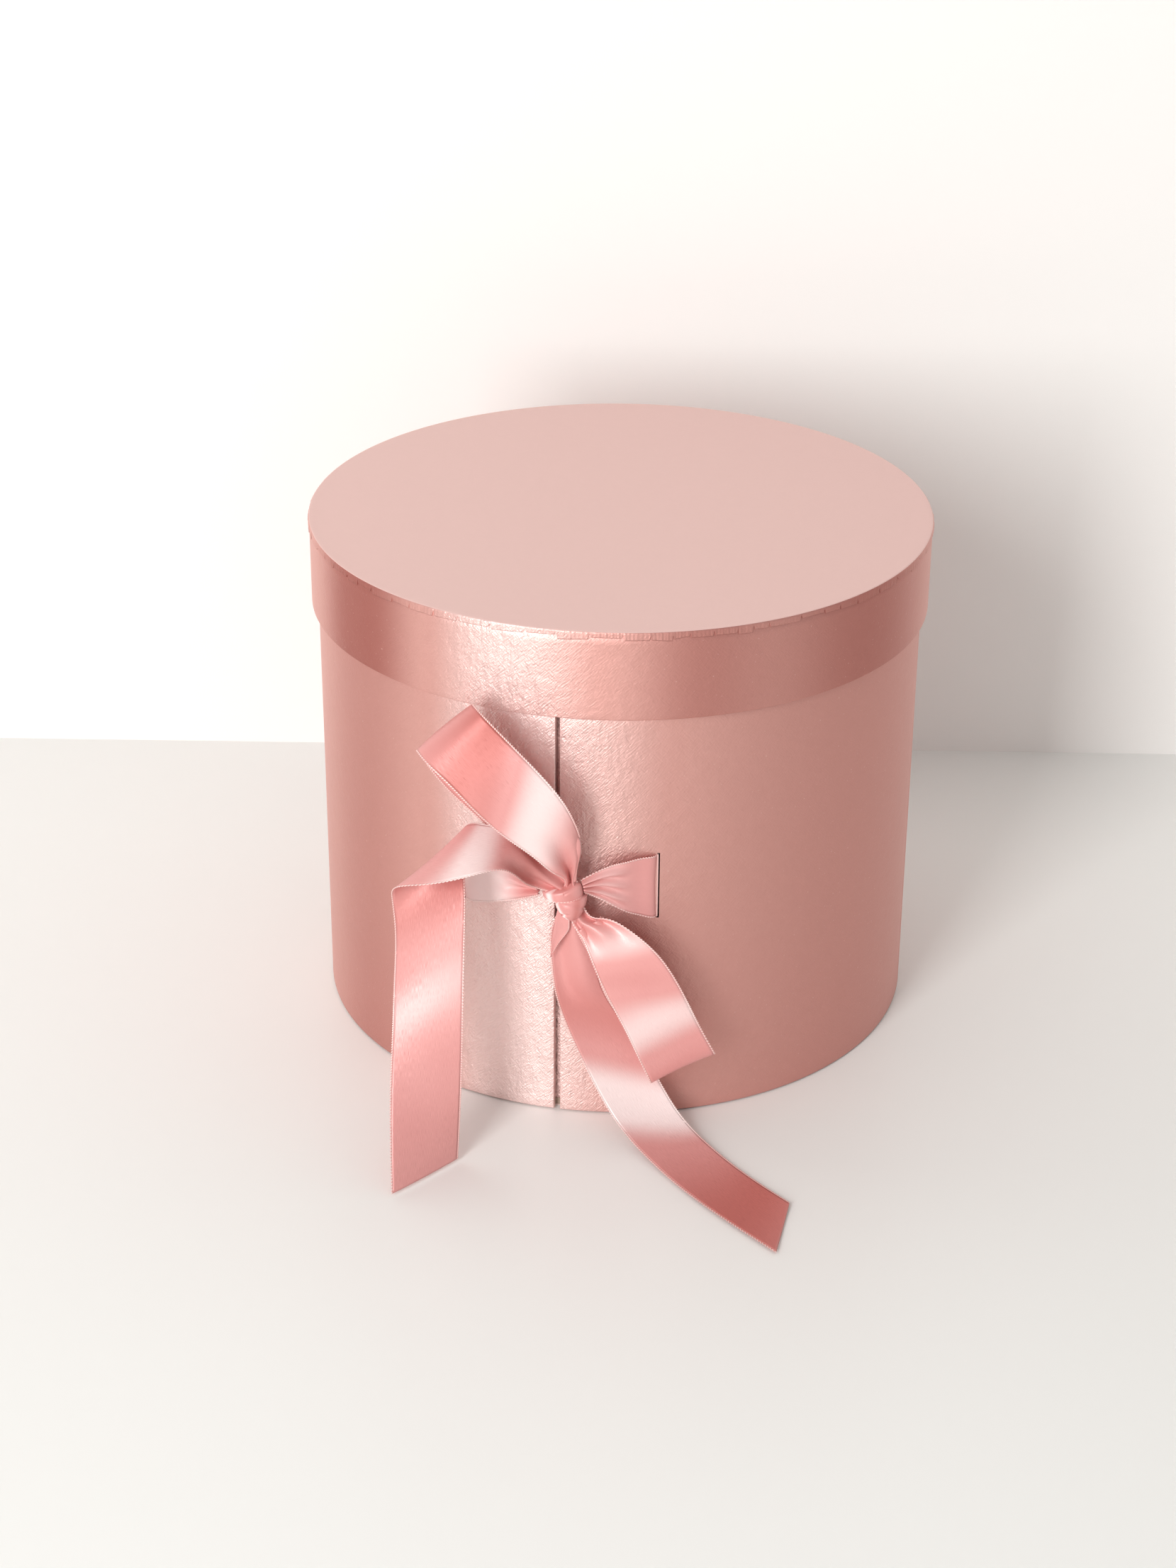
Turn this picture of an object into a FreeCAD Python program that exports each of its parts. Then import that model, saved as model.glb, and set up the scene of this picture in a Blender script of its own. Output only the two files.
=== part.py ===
import FreeCAD, Part

import math
import os
import re

import Sketcher
from FreeCAD import Placement, Rotation, Vector

# Round two-door flower box: a drum inside an outer wall whose front half is a
# pair of curved doors, a lift-off lid, and a ribbon bow that ties the doors.
# Millimetres, +Z up, origin at the centre of the base. The doors meet at -Y.

doc = FreeCAD.newDocument("flower_box")
sheet = doc.addObject("Spreadsheet::Sheet", "Sizes")

# name, value, what it is
SIZES = [
    ("body_diameter", 204.9, "closed body, over its paper"),
    ("box_height", 175.8, "table to the top of the lid"),
    ("skirt_depth", 29.9, "lid, top face to lower edge"),
    ("lid_top_board", 2.0, "board of the lid's top"),
    ("lid_rim_board", 1.5, "board of the lid's rim"),
    ("wall_board", 2.0, "board of the doors and the drum"),
    ("base_board", 2.5, "board of the base"),
    ("shelf_board", 2.0, "board of the shelf"),
    ("paper", 0.25, "covering paper"),
    ("turn_in", 10.0, "paper turned over an edge"),
    ("flap_drop", 3.2, "top paper turned down over the lid's rim"),
    ("flap_cuts", 30.0, "cuts round the turned-down paper"),
    ("flap_cut_width", 0.9, "widest part of a cut"),
    ("lid_fit_gap", 0.3, "lid's turned-in paper to the body, all round"),
    ("lid_seat_gap", 0.2, "underside of the lid to the rim of the body"),
    ("door_head_gap", 0.5, "top of a door to the fixed ring"),
    ("door_foot_gap", 0.5, "foot of a door to the table"),
    ("door_back_gap", 1.0, "back of a door to the drum"),
    ("seam_gap", 2.0, "between the two doors"),
    ("hinge_gap", 0.4, "crease between a door and the back"),
    ("slot_angle", 18.0, "ribbon slot, degrees from the seam"),
    ("slot_end_play", 1.0, "ribbon slot, longer than the ribbon's width"),
    ("slot_side_play", 1.0, "ribbon slot, wider than the ribbon's thickness"),
    ("slot_middle", 86.3, "ribbon slot, height of its middle"),
    ("shelf_level", 86.0, "top face of the shelf board"),
    ("sill_level", 45.0, "lower edge of the gift window"),
    ("window_half_width", 72.0, "gift window, middle to side"),
    ("window_head", 3.0, "board left between window and shelf"),
    ("ribbon_width", 22.5, "satin ribbon"),
    ("ribbon_thickness", 0.4, "satin ribbon"),
    ("sections_per_station", 3.0, "ribbon sections between two stations"),
    ("anchor_angle", 8.0, "glued ribbon end behind a door, degrees"),
    ("glue_line", 0.05, "glued ribbon end to the back of its door"),
    ("knot_width", 11.0, "lower wrap of the knot"),
    ("knot_depth", 8.0, "knot, front to back"),
    ("knot_height", 8.5, "lower wrap of the knot"),
    ("wrap_steps", 5.0, "rings of the knot's lower wrap"),
    ("band_width", 12.0, "upper band of the knot"),
    ("band_height", 5.0, "upper band of the knot"),
    ("band_tilt", 14.0, "upper band, degrees from level"),
    ("knot_shift", 2.5, "lower wrap, right of the band's middle"),
    ("knot_gap", 0.1, "lower wrap to the band"),
]

for row, (name, number, note) in enumerate(SIZES, start=1):
    sheet.set(f"A{row}", name)
    sheet.set(f"B{row}", str(number))
    sheet.set(f"C{row}", note)
    sheet.setAlias(f"B{row}", name)
doc.recompute()

# The sub-parts, in the order they are made.
pieces = []

NAMES = sorted((name for name, _, _ in SIZES), key=len, reverse=True)
ALIAS = re.compile(r"\b(" + "|".join(NAMES) + r")\b")


def value(expression):
    """The number that an expression of the sizes gives."""
    return float(sheet.evalExpression(cells(expression)))


def cells(text):
    """The expression with each size pointed at its cell."""
    return ALIAS.sub(r"Sizes.\1", text)


# Levels and radii that several pieces share, as expressions of the sizes.
SKIRT_EDGE = "(box_height - skirt_depth)"
LID_TOP = "(box_height - paper)"
LID_UNDER = f"({LID_TOP} - lid_top_board)"
RIM_TOP = f"({LID_UNDER} - lid_seat_gap)"
WALL_TOP = f"({RIM_TOP} - paper)"
DOOR_TOP = f"({SKIRT_EDGE} - door_head_gap)"
BASE_TOP = "(paper + base_board)"
SHELF_UNDER = "(shelf_level - shelf_board)"
WINDOW_TOP = f"({SHELF_UNDER} - window_head)"

BODY_OUT = "(body_diameter / 2)"
WALL_OUT = f"({BODY_OUT} - paper)"
DOOR_IN = f"({WALL_OUT} - wall_board)"
DRUM_OUT = f"({DOOR_IN} - door_back_gap)"
DRUM_BOARD_OUT = f"({DRUM_OUT} - paper)"
DRUM_IN = f"({DRUM_BOARD_OUT} - wall_board)"

# The lid goes over the body: its radii start from the body's.
LID_HEM_IN = f"({BODY_OUT} + lid_fit_gap)"
LID_BOARD_IN = f"({LID_HEM_IN} + paper)"
LID_BOARD_OUT = f"({LID_BOARD_IN} + lid_rim_board)"
LID_PAPER_IN = f"({LID_BOARD_OUT} + paper)"
LID_OUT = f"({LID_PAPER_IN} + paper)"

SEAM_TURN = f"(seam_gap / 2 / {BODY_OUT} * 180 / pi)"
HINGE_TURN = f"(hinge_gap / 2 / {BODY_OUT} * 180 / pi)"
SLOT_LOW = "(slot_middle - (ribbon_width + slot_end_play) / 2)"
SLOT_HIGH = "(slot_middle + (ribbon_width + slot_end_play) / 2)"
SLOT_SIDE = "((ribbon_thickness + slot_side_play) / 2)"
SLOT_TO_SEAM = f"(slot_angle - {SEAM_TURN})"
HALF_RIBBON = f"(ribbon_thickness / 2 / {BODY_OUT} * 180 / pi)"
SLOT_TO_HINGE = f"(90 - slot_angle - {HINGE_TURN})"


def origin_plane(body, role):
    """The body's own origin plane of that role."""
    return next(item for item in body.Origin.OriginFeatures if item.Role == role)


def new_body(label, start_angle="0", exported=True):
    """A body turned about Z by an angle given as an expression."""
    body = doc.addObject("PartDesign::Body", label)
    body.Label = label
    body.Placement = Placement(Vector(0, 0, 0), Rotation(Vector(0, 0, 1), 1))
    body.setExpression("Placement.Rotation.Angle", cells(start_angle))
    if exported:
        pieces.append(body)
    return body


def polygon_sketch(body, role, corners):
    """A closed outline; each corner is a pair of expressions, "0" on an axis."""
    sketch = body.newObject("Sketcher::SketchObject", body.Label + "_outline")
    sketch.AttachmentSupport = [(origin_plane(body, role), "")]
    sketch.MapMode = "FlatFace"
    guess = [Vector(value(across), value(up), 0) for across, up in corners]
    count = len(corners)
    for index in range(count):
        line = Part.LineSegment(guess[index], guess[(index + 1) % count])
        sketch.addGeometry(line, False)
    for index in range(count):
        sketch.addConstraint(Sketcher.Constraint("Coincident", index, 2, (index + 1) % count, 1))
    for index, (across, up) in enumerate(corners):
        pin(sketch, index, across, guess[index].x, "DistanceX", -2)
        pin(sketch, index, up, guess[index].y, "DistanceY", -1)
    return sketch


def pin(sketch, index, expression, number, kind, axis):
    """Hold the start of a line at its distance from an axis."""
    if expression == "0":
        sketch.addConstraint(Sketcher.Constraint("PointOnObject", index, 1, axis))
        return
    place = sketch.addConstraint(Sketcher.Constraint(kind, -1, 1, index, 1, number))
    sketch.setExpression(f"Constraints[{place}]", cells(expression))


def revolved(body, corners, ahead="360", behind="0"):
    """Turn an outline (radius, height) about Z, both ways from the body's +X."""
    sketch = polygon_sketch(body, "XZ_Plane", corners)
    turn = body.newObject("PartDesign::Revolution", body.Label + "_turn")
    turn.Profile = sketch
    turn.ReferenceAxis = (sketch, ["V_Axis"])
    turn.setExpression("Angle", cells(ahead))
    if behind != "0":
        turn.Type = "TwoAngles"
        turn.setExpression("Angle2", cells(behind))
    doc.recompute()
    return turn


def cut_through(body, role, corners):
    """Cut an outline through one side of a wall, away from its plane."""
    before = body.Shape.Volume
    sketch = polygon_sketch(body, role, corners)
    pocket = body.newObject("PartDesign::Pocket", body.Label + "_cut")
    pocket.Profile = sketch
    pocket.Type = "Length"
    pocket.setExpression("Length", cells("body_diameter"))
    pocket.Reversed = True
    doc.recompute()
    if body.Shape.Volume >= before:
        raise ValueError(body.Label + ": the cut takes nothing away")
    return pocket


def rectangle(inner, outer, low, high):
    """Corners of an upright rectangle."""
    return [(inner, low), (outer, low), (outer, high), (inner, high)]


def ring(label, inner, outer, low, high):
    """A full ring."""
    body = new_body(label)
    revolved(body, rectangle(inner, outer, low, high))
    return body


def disc(label, radius, low, high):
    """A full disc."""
    return ring(label, "0", radius, low, high)


def triangle(one, two, three):
    """A flat three-cornered face."""
    return Part.Face(Part.makePolygon([one, two, three, one]))


def make_lid():
    """Rim and top boards and their papers."""
    disc("lid_top_board", LID_BOARD_OUT, LID_UNDER, LID_TOP)
    ring("lid_rim_board", LID_BOARD_IN, LID_BOARD_OUT, f"({SKIRT_EDGE} + paper)", LID_UNDER)
    rim_paper = new_body("lid_rim_paper")
    hem_top = f"({SKIRT_EDGE} + turn_in)"
    revolved(rim_paper, [
        (LID_HEM_IN, SKIRT_EDGE),
        (LID_PAPER_IN, SKIRT_EDGE),
        (LID_PAPER_IN, LID_TOP),
        (LID_BOARD_OUT, LID_TOP),
        (LID_BOARD_OUT, f"({SKIRT_EDGE} + paper)"),
        (LID_BOARD_IN, f"({SKIRT_EDGE} + paper)"),
        (LID_BOARD_IN, hem_top),
        (LID_HEM_IN, hem_top),
    ])
    make_lid_top_paper()


def make_lid_top_paper():
    """A disc of paper, its edge turned down over the rim and cut into flaps."""
    body = new_body("lid_top_sheet", exported=False)
    flap_foot = "(box_height - flap_drop)"
    revolved(body, [
        ("0", LID_TOP),
        (LID_PAPER_IN, LID_TOP),
        (LID_PAPER_IN, flap_foot),
        (LID_OUT, flap_foot),
        (LID_OUT, "box_height"),
        ("0", "box_height"),
    ])
    cuts = doc.addObject("Part::Feature", "flap_cuts")
    cuts.Shape = Part.makeCompound(flap_wedges(value(flap_foot)))
    paper = doc.addObject("Part::Cut", "lid_top_paper")
    paper.Label = "lid_top_paper"
    paper.Base = body
    paper.Tool = cuts
    pieces.append(paper)


def flap_wedges(foot):
    """Narrow wedges round the rim, their points just under the top face."""
    half = value("flap_cut_width") / 2
    near = value(LID_PAPER_IN) - half
    far = value(LID_OUT) + half
    point = Vector(near, 0, value(LID_TOP) - value("paper"))
    foot_right = Vector(near, half, foot - half)
    foot_left = Vector(near, -half, foot - half)
    outline = triangle(point, foot_right, foot_left)
    wedge = outline.extrude(Vector(far - near, 0, 0))
    count = int(value("flap_cuts"))
    wedges = []
    for index in range(count):
        turned = wedge.copy()
        turned.rotate(Vector(0, 0, 0), Vector(0, 0, 1), 360 * index / count)
        wedges.append(turned)
    return wedges


def cut_window(body):
    """The gift window in the front of the drum."""
    left = "(0 - window_half_width)"
    cut_through(body, "XZ_Plane", [
        (left, "sill_level"),
        ("window_half_width", "sill_level"),
        ("window_half_width", WINDOW_TOP),
        (left, WINDOW_TOP),
    ])


def make_drum():
    """Base, drum and shelf, and the papers on the base and the drum."""
    disc("base_paper", DRUM_OUT, "0", "paper")
    disc("base_board", DRUM_OUT, "paper", BASE_TOP)
    cut_window(ring("drum_board", DRUM_IN, DRUM_BOARD_OUT, BASE_TOP, WALL_TOP))
    cut_window(ring("drum_paper", DRUM_BOARD_OUT, DRUM_OUT, BASE_TOP, WALL_TOP))
    disc("shelf_board", DRUM_IN, SHELF_UNDER, "shelf_level")


def make_shell():
    """The fixed outer wall: a back half and a whole ring under the lid."""
    back_turn = HINGE_TURN
    back_sweep = f"(180 - 2 * {HINGE_TURN})"
    board = new_body("shell_board", back_turn)
    revolved(board, rectangle(DRUM_OUT, WALL_OUT, SKIRT_EDGE, WALL_TOP))
    revolved(board, rectangle(DRUM_OUT, WALL_OUT, "0", SKIRT_EDGE), back_sweep)
    cover = new_body("shell_paper", back_turn)
    hem_in = f"({DRUM_IN} - paper)"
    hem_foot = f"({RIM_TOP} - turn_in)"
    revolved(cover, [
        (WALL_OUT, SKIRT_EDGE),
        (BODY_OUT, SKIRT_EDGE),
        (BODY_OUT, RIM_TOP),
        (hem_in, RIM_TOP),
        (hem_in, hem_foot),
        (DRUM_IN, hem_foot),
        (DRUM_IN, WALL_TOP),
        (WALL_OUT, WALL_TOP),
    ])
    revolved(cover, rectangle(WALL_OUT, BODY_OUT, "paper", SKIRT_EDGE), back_sweep)


def cut_slot(body):
    """The ribbon slot, straight out through the wall at the body's own +X."""
    cut_through(body, "YZ_Plane", [
        (f"(0 - {SLOT_SIDE})", SLOT_LOW),
        (SLOT_SIDE, SLOT_LOW),
        (SLOT_SIDE, SLOT_HIGH),
        (f"(0 - {SLOT_SIDE})", SLOT_HIGH),
    ])


def make_door(side, slot_place, ahead, behind):
    """One curved door, turned both ways from its slot, and its ribbon end."""
    foot = "door_foot_gap"
    board = new_body(side + "_door_board", slot_place)
    outline = rectangle(DOOR_IN, WALL_OUT, f"({foot} + paper)", f"({DOOR_TOP} - paper)")
    revolved(board, outline, ahead, behind)
    cut_slot(board)

    cover = new_body(side + "_door_paper", slot_place)
    revolved(cover, [
        (DOOR_IN, foot),
        (BODY_OUT, foot),
        (BODY_OUT, DOOR_TOP),
        (DOOR_IN, DOOR_TOP),
        (DOOR_IN, f"({DOOR_TOP} - paper)"),
        (WALL_OUT, f"({DOOR_TOP} - paper)"),
        (WALL_OUT, f"({foot} + paper)"),
        (DOOR_IN, f"({foot} + paper)"),
    ], ahead, behind)
    cut_slot(cover)


def make_anchor(side, slot_place, ahead, behind):
    """The ribbon's end: through the slot, then glued flat behind the door."""
    anchor = new_body(side + "_ribbon_anchor", slot_place)
    low = "(slot_middle - ribbon_width / 2)"
    high = "(slot_middle + ribbon_width / 2)"
    face = f"({DOOR_IN} - glue_line)"
    back = f"({face} - ribbon_thickness)"
    revolved(anchor, rectangle(back, face, low, high), ahead, behind)
    revolved(anchor, rectangle(back, BODY_OUT, low, high), HALF_RIBBON, HALF_RIBBON)


def make_doors():
    """The right door, then the left one with its two turns the other way."""
    right_slot = "(0 - 90 + slot_angle)"
    left_slot = "(0 - 90 - slot_angle)"
    make_door("right", right_slot, SLOT_TO_HINGE, SLOT_TO_SEAM)
    make_anchor("right", right_slot, "anchor_angle", HALF_RIBBON)
    make_door("left", left_slot, SLOT_TO_SEAM, SLOT_TO_HINGE)
    make_anchor("left", left_slot, HALF_RIBBON, "anchor_angle")


# Ribbon stations: the two edges of the ribbon at each station, and each edge
# as (degrees from the seam, distance in front of the doors, height above the
# slots' middle). The stations are for a ribbon STATION_WIDTH wide, tied on a
# body of STATION_RADIUS, STATION_RISE above the table. The bow grows with the
# body, another ribbon spreads or narrows it about its middle line, and the
# heights below the slots follow the drop to the table, so the tails reach it.

STATION_WIDTH = 22.5
STATION_RADIUS = 102.45
STATION_RISE = 86.3

LEFT_LEAD = [
    ((-17.6, 0.5, 11.2), (-17.6, 0.5, -11.3)),
    ((-14.2, 3.0, 11.5), (-13.9, 3.0, -10.0)),
    ((-10.2, 4.8, 11.0), (-9.5, 5.0, -6.8)),
    ((-6.2, 6.0, 7.5), (-5.8, 6.0, -4.0)),
    ((-2.2, 7.4, 3.6), (-2.2, 7.4, -0.4)),
]
UPPER_LOOP = [
    ((2.4, 8.4, 5.6), (3.9, 8.4, 6.8)),
    ((0.9, 13.0, 11.0), (4.8, 11.0, 18.3)),
    ((-1.5, 18.0, 18.0), (4.4, 15.0, 29.0)),
    ((-4.7, 22.0, 25.0), (2.8, 17.0, 37.5)),
    ((-10.6, 25.0, 37.0), (-3.6, 18.0, 53.5)),
    ((-14.4, 25.0, 44.0), (-7.6, 17.0, 60.5)),
    ((-17.8, 24.0, 48.5), (-10.4, 15.8, 64.8)),
    ((-20.0, 20.5, 49.0), (-12.3, 12.4, 65.2)),
    ((-20.8, 16.5, 45.5), (-13.2, 8.6, 62.5)),
    ((-19.1, 13.5, 38.0), (-10.9, 6.5, 54.0)),
    ((-16.1, 11.5, 31.0), (-6.8, 5.5, 44.0)),
    ((-12.0, 9.5, 23.5), (-2.6, 5.0, 33.5)),
    ((-6.5, 8.0, 14.0), (1.8, 5.5, 19.5)),
    ((1.2, 7.4, 6.2), (3.0, 7.4, 6.6)),
]
LEFT_TAIL = [
    ((0.6, 9.5, 6.2), (-1.8, 10.0, 3.0)),
    ((-3.6, 9.5, 15.5), (-3.6, 20.0, 10.8)),
    ((-6.6, 10.0, 21.4), (-5.3, 27.0, 17.2)),
    ((-10.2, 11.0, 23.4), (-9.0, 33.0, 16.6)),
    ((-12.4, 12.5, 24.0), (-15.5, 35.5, 11.2)),
    ((-13.6, 14.5, 22.2), (-19.8, 34.5, 7.0)),
    ((-13.2, 17.0, 16.5), (-21.4, 31.5, 1.5)),
    ((-11.5, 23.5, 8.0), (-21.2, 31.0, -8.0)),
    ((-10.3, 30.5, -12.0), (-19.8, 36.5, -25.0)),
    ((-9.8, 35.0, -33.5), (-18.4, 43.0, -37.5)),
    ((-9.8, 37.0, -56.5), (-17.0, 51.0, -56.0)),
    ((-10.2, 38.5, -85.0), (-14.1, 65.5, -85.0)),
]
RIGHT_LEAD = [
    ((17.6, 0.5, 11.2), (17.6, 0.5, -11.3)),
    ((15.1, 2.0, 11.2), (15.1, 2.0, -9.8)),
    ((11.9, 4.0, 10.5), (12.0, 4.0, -6.8)),
    ((8.9, 5.5, 9.0), (8.3, 5.5, -2.0)),
    ((4.9, 7.6, 5.2), (5.3, 7.6, 1.6)),
]
LOWER_LOOP = [
    ((3.6, 7.8, -10.6), (6.8, 7.6, -7.4)),
    ((4.6, 8.8, -13.0), (9.0, 9.0, -7.0)),
    ((6.0, 10.5, -17.5), (13.2, 12.0, -10.0)),
    ((8.6, 13.0, -29.7), (18.1, 15.0, -19.3)),
    ((12.0, 15.0, -43.4), (21.7, 16.0, -33.0)),
    ((15.2, 15.0, -59.0), (25.2, 15.0, -49.0)),
    ((16.6, 13.2, -66.0), (27.1, 13.0, -57.2)),
    ((16.5, 10.6, -66.0), (27.0, 10.2, -57.2)),
    ((14.7, 9.0, -56.8), (24.3, 9.0, -47.4)),
    ((12.0, 8.6, -43.0), (21.0, 9.0, -33.0)),
    ((8.6, 8.0, -29.5), (17.5, 9.0, -20.0)),
    ((4.2, 6.8, -12.5), (8.0, 6.8, -7.6)),
]
RIGHT_TAIL = [
    ((1.1, 5.5, -7.0), (3.4, 5.5, -9.1)),
    ((-0.4, 4.6, -14.5), (2.6, 4.8, -16.0)),
    ((-0.6, 4.5, -25.0), (5.0, 4.8, -24.2)),
    ((0.0, 5.0, -35.0), (8.5, 5.0, -35.2)),
    ((1.4, 6.0, -44.2), (12.0, 5.0, -47.0)),
    ((6.1, 9.0, -64.0), (17.3, 5.2, -65.0)),
    ((10.8, 14.5, -79.0), (21.4, 9.5, -79.5)),
    ((16.3, 32.5, -84.8), (25.2, 25.5, -84.8)),
    ((20.8, 54.4, -85.2), (27.9, 42.8, -85.2)),
    ((26.3, 85.2, -85.2), (30.7, 61.2, -85.2)),
]

# The knot: the middle of its band, how far the wrap under it closes at its
# foot (degrees of a quarter turn) and the wrap's corners around.
BAND_MIDDLE = (1.5, 8.0, 1.7)
WRAP_CLOSE = 78
WRAP_CORNERS = 16


def beside(angle, standoff, rise):
    """A point in front of the doors, at a height from the slots' middle."""
    growth = value(BODY_OUT) / STATION_RADIUS
    radius = value(BODY_OUT) + standoff * growth
    turn = math.radians(angle)
    drop = min(rise, 0) * value("slot_middle") / STATION_RISE
    height = value("slot_middle") + max(rise, 0) * growth + drop
    return Vector(radius * math.sin(turn), -radius * math.cos(turn), height)


def smooth_edge(points, places):
    """One edge of a ribbon as a smooth curve through its stations."""
    curve = Part.BSplineCurve()
    curve.interpolate(Points=points, Parameters=places)
    return curve


def make_ribbon(label, stations):
    """A thin sheet along two smooth edges, ruled between close sections."""
    growth = value(BODY_OUT) / STATION_RADIUS
    spread = value("ribbon_width") / (STATION_WIDTH * growth) / 2
    firsts = []
    seconds = []
    middles = []
    for first, second in stations:
        middle = (beside(*first) + beside(*second)) * 0.5
        across = (beside(*second) - beside(*first)) * spread
        firsts.append(middle - across)
        seconds.append(middle + across)
        middles.append(middle)
    places = [0.0]
    for before, after in zip(middles, middles[1:]):
        places.append(places[-1] + before.distanceToPoint(after))
    first_edge = smooth_edge(firsts, places)
    second_edge = smooth_edge(seconds, places)
    count = int(value("sections_per_station")) * (len(stations) - 1)
    steps = [places[-1] * index / count for index in range(count + 1)]
    edges = [(first_edge.value(step), second_edge.value(step)) for step in steps]
    sections = sheet_sections(edges, value("ribbon_thickness"))
    ribbon = doc.addObject("Part::Feature", label)
    ribbon.Label = label
    ribbon.Shape = skinned(sections)
    pieces.append(ribbon)


def sheet_sections(edges, thickness):
    """A thin rectangle across each pair of edge points, square to the sheet."""
    middles = [(first + second) * 0.5 for first, second in edges]
    last = len(edges) - 1
    sections = []
    for index, (first, second) in enumerate(edges):
        along = middles[min(index + 1, last)] - middles[max(index - 1, 0)]
        normal = (second - first).cross(along)
        normal.normalize()
        half = normal * (thickness / 2)
        sections.append([first - half, second - half, second + half, first + half])
    return sections


def skinned(sections):
    """A closed solid of flat triangles through rings of equal corner count.

    The first and second half of a ring are split along the same diagonal, so
    the two faces of a twisted sheet stay a sheet's thickness apart.
    """
    faces = []
    around = len(sections[0])
    for near, far in zip(sections, sections[1:]):
        for corner in range(around):
            after = (corner + 1) % around
            if corner < around // 2:
                faces.append(triangle(near[corner], near[after], far[after]))
                faces.append(triangle(near[corner], far[after], far[corner]))
            else:
                faces.append(triangle(near[corner], near[after], far[corner]))
                faces.append(triangle(near[after], far[after], far[corner]))
    for ring_points in (sections[0], sections[-1]):
        for corner in range(1, around - 1):
            faces.append(triangle(ring_points[0], ring_points[corner], ring_points[corner + 1]))
    solid = Part.makeSolid(Part.makeShell(faces))
    if solid.Volume < 0:
        solid.reverse()
    return solid


def make_knot():
    """An upper band and the lower wrap that comes out from under it."""
    oval = doc.addObject("Part::Ellipse", "band_oval")
    oval.setExpression("MajorRadius", cells("band_width / 2"))
    oval.setExpression("MinorRadius", cells("knot_depth / 2"))
    band = doc.addObject("Part::Extrusion", "knot_band")
    band.Label = "knot_band"
    band.Base = oval
    band.DirMode = "Custom"
    band.Dir = Vector(0, 0, 1)
    band.setExpression("LengthFwd", cells("band_height"))
    band.Solid = True
    tilt = Rotation(Vector(0, 1, 0), -value("band_tilt"))
    foot = beside(*BAND_MIDDLE) + tilt.multVec(Vector(0, 0, -value("band_height") / 2))
    band.Placement = Placement(foot, tilt)

    wrap = doc.addObject("Part::Feature", "knot_wrap")
    wrap.Label = "knot_wrap"
    beneath = Vector(value("knot_shift"), 0, -value("knot_gap"))
    wrap.Shape = skinned(wrap_sections(foot + tilt.multVec(beneath), tilt))
    pieces.extend([band, wrap])


def wrap_sections(middle, tilt):
    """Ovals that narrow downwards from the band, under a bulging waist."""
    height = value("knot_height")
    steps = int(value("wrap_steps"))
    sections = []
    for step in range(steps + 1):
        down = step / steps
        girth = math.cos(down * math.radians(WRAP_CLOSE)) ** 0.5
        wide = value("knot_width") / 2 * girth
        deep = value("knot_depth") / 2 * girth
        points = []
        for corner in range(WRAP_CORNERS):
            turn = 2 * math.pi * corner / WRAP_CORNERS
            point = Vector(wide * math.cos(turn), deep * math.sin(turn), -down * height)
            points.append(middle + tilt.multVec(point) if step == 0 else middle + point)
        sections.append(points)
    return sections


def main():
    make_lid()
    make_drum()
    make_shell()
    make_doors()
    make_ribbon("left_lead", LEFT_LEAD)
    make_ribbon("upper_loop", UPPER_LOOP)
    make_ribbon("left_tail", LEFT_TAIL)
    make_ribbon("right_lead", RIGHT_LEAD)
    make_ribbon("lower_loop", LOWER_LOOP)
    make_ribbon("right_tail", RIGHT_TAIL)
    make_knot()
    doc.recompute()
    write_parts()


def write_parts():
    """Check every object, then write each sub-part to its own file."""
    for item in doc.Objects:
        if "Invalid" in item.State or "Error" in item.State:
            raise ValueError(item.Name + " failed: " + ", ".join(item.State))
    os.makedirs("parts", exist_ok=True)
    for piece in pieces:
        shape = piece.Shape
        if shape.isNull() or not shape.isValid():
            raise ValueError(piece.Label + " has no valid shape")
    for piece in pieces:
        piece.Shape.exportStep("parts/" + piece.Label + ".step")


main()
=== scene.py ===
import math

import bmesh
import bpy
import numpy as np
from mathutils import Matrix, Vector


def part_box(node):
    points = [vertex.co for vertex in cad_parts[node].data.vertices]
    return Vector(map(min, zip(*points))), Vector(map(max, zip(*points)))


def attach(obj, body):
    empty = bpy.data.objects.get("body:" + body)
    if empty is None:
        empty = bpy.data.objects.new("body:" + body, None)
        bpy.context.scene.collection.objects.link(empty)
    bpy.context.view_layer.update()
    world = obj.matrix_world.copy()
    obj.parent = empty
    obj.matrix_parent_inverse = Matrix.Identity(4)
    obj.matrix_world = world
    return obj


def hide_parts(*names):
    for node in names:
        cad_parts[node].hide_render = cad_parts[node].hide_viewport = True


# A round flower box in pearly pink paper, with two curved doors tied shut by a
# satin bow, and a lift-off lid. Sizes are in millimetres up to the line that
# puts a surface into a mesh; +Z is up and the doors meet at -Y.

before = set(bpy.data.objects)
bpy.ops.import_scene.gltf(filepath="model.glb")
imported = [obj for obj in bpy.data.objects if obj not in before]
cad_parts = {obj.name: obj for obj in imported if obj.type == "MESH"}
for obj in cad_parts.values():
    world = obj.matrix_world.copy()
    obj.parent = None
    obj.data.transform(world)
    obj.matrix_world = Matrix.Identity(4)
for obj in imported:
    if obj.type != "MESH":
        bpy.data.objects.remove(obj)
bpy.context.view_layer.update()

MM = 0.001
TAU = 2 * math.pi

PAPER_THICK = 0.25
DRUM_THICK = 2.0        # the drum's board
RIM_THICK = 2.0         # the lid's rim board with its paper on both sides
BORDER_DEPTH = 2.25     # how far a turned-in border goes into the wall
SLOT_LEVEL = 86.3       # middle of the ribbon slots
RIBBON = 22.5           # the ribbon's width without its picots
PICOT = 0.85            # from one picot to the next


def extent(node):
    """Lowest and highest corner of a node, in millimetres."""
    low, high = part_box(node)
    return np.array(low) / MM, np.array(high) / MM


def reach(node):
    """Outer radius of a round node about Z."""
    low, high = extent(node)
    return (high[0] - low[0]) / 2


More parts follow.
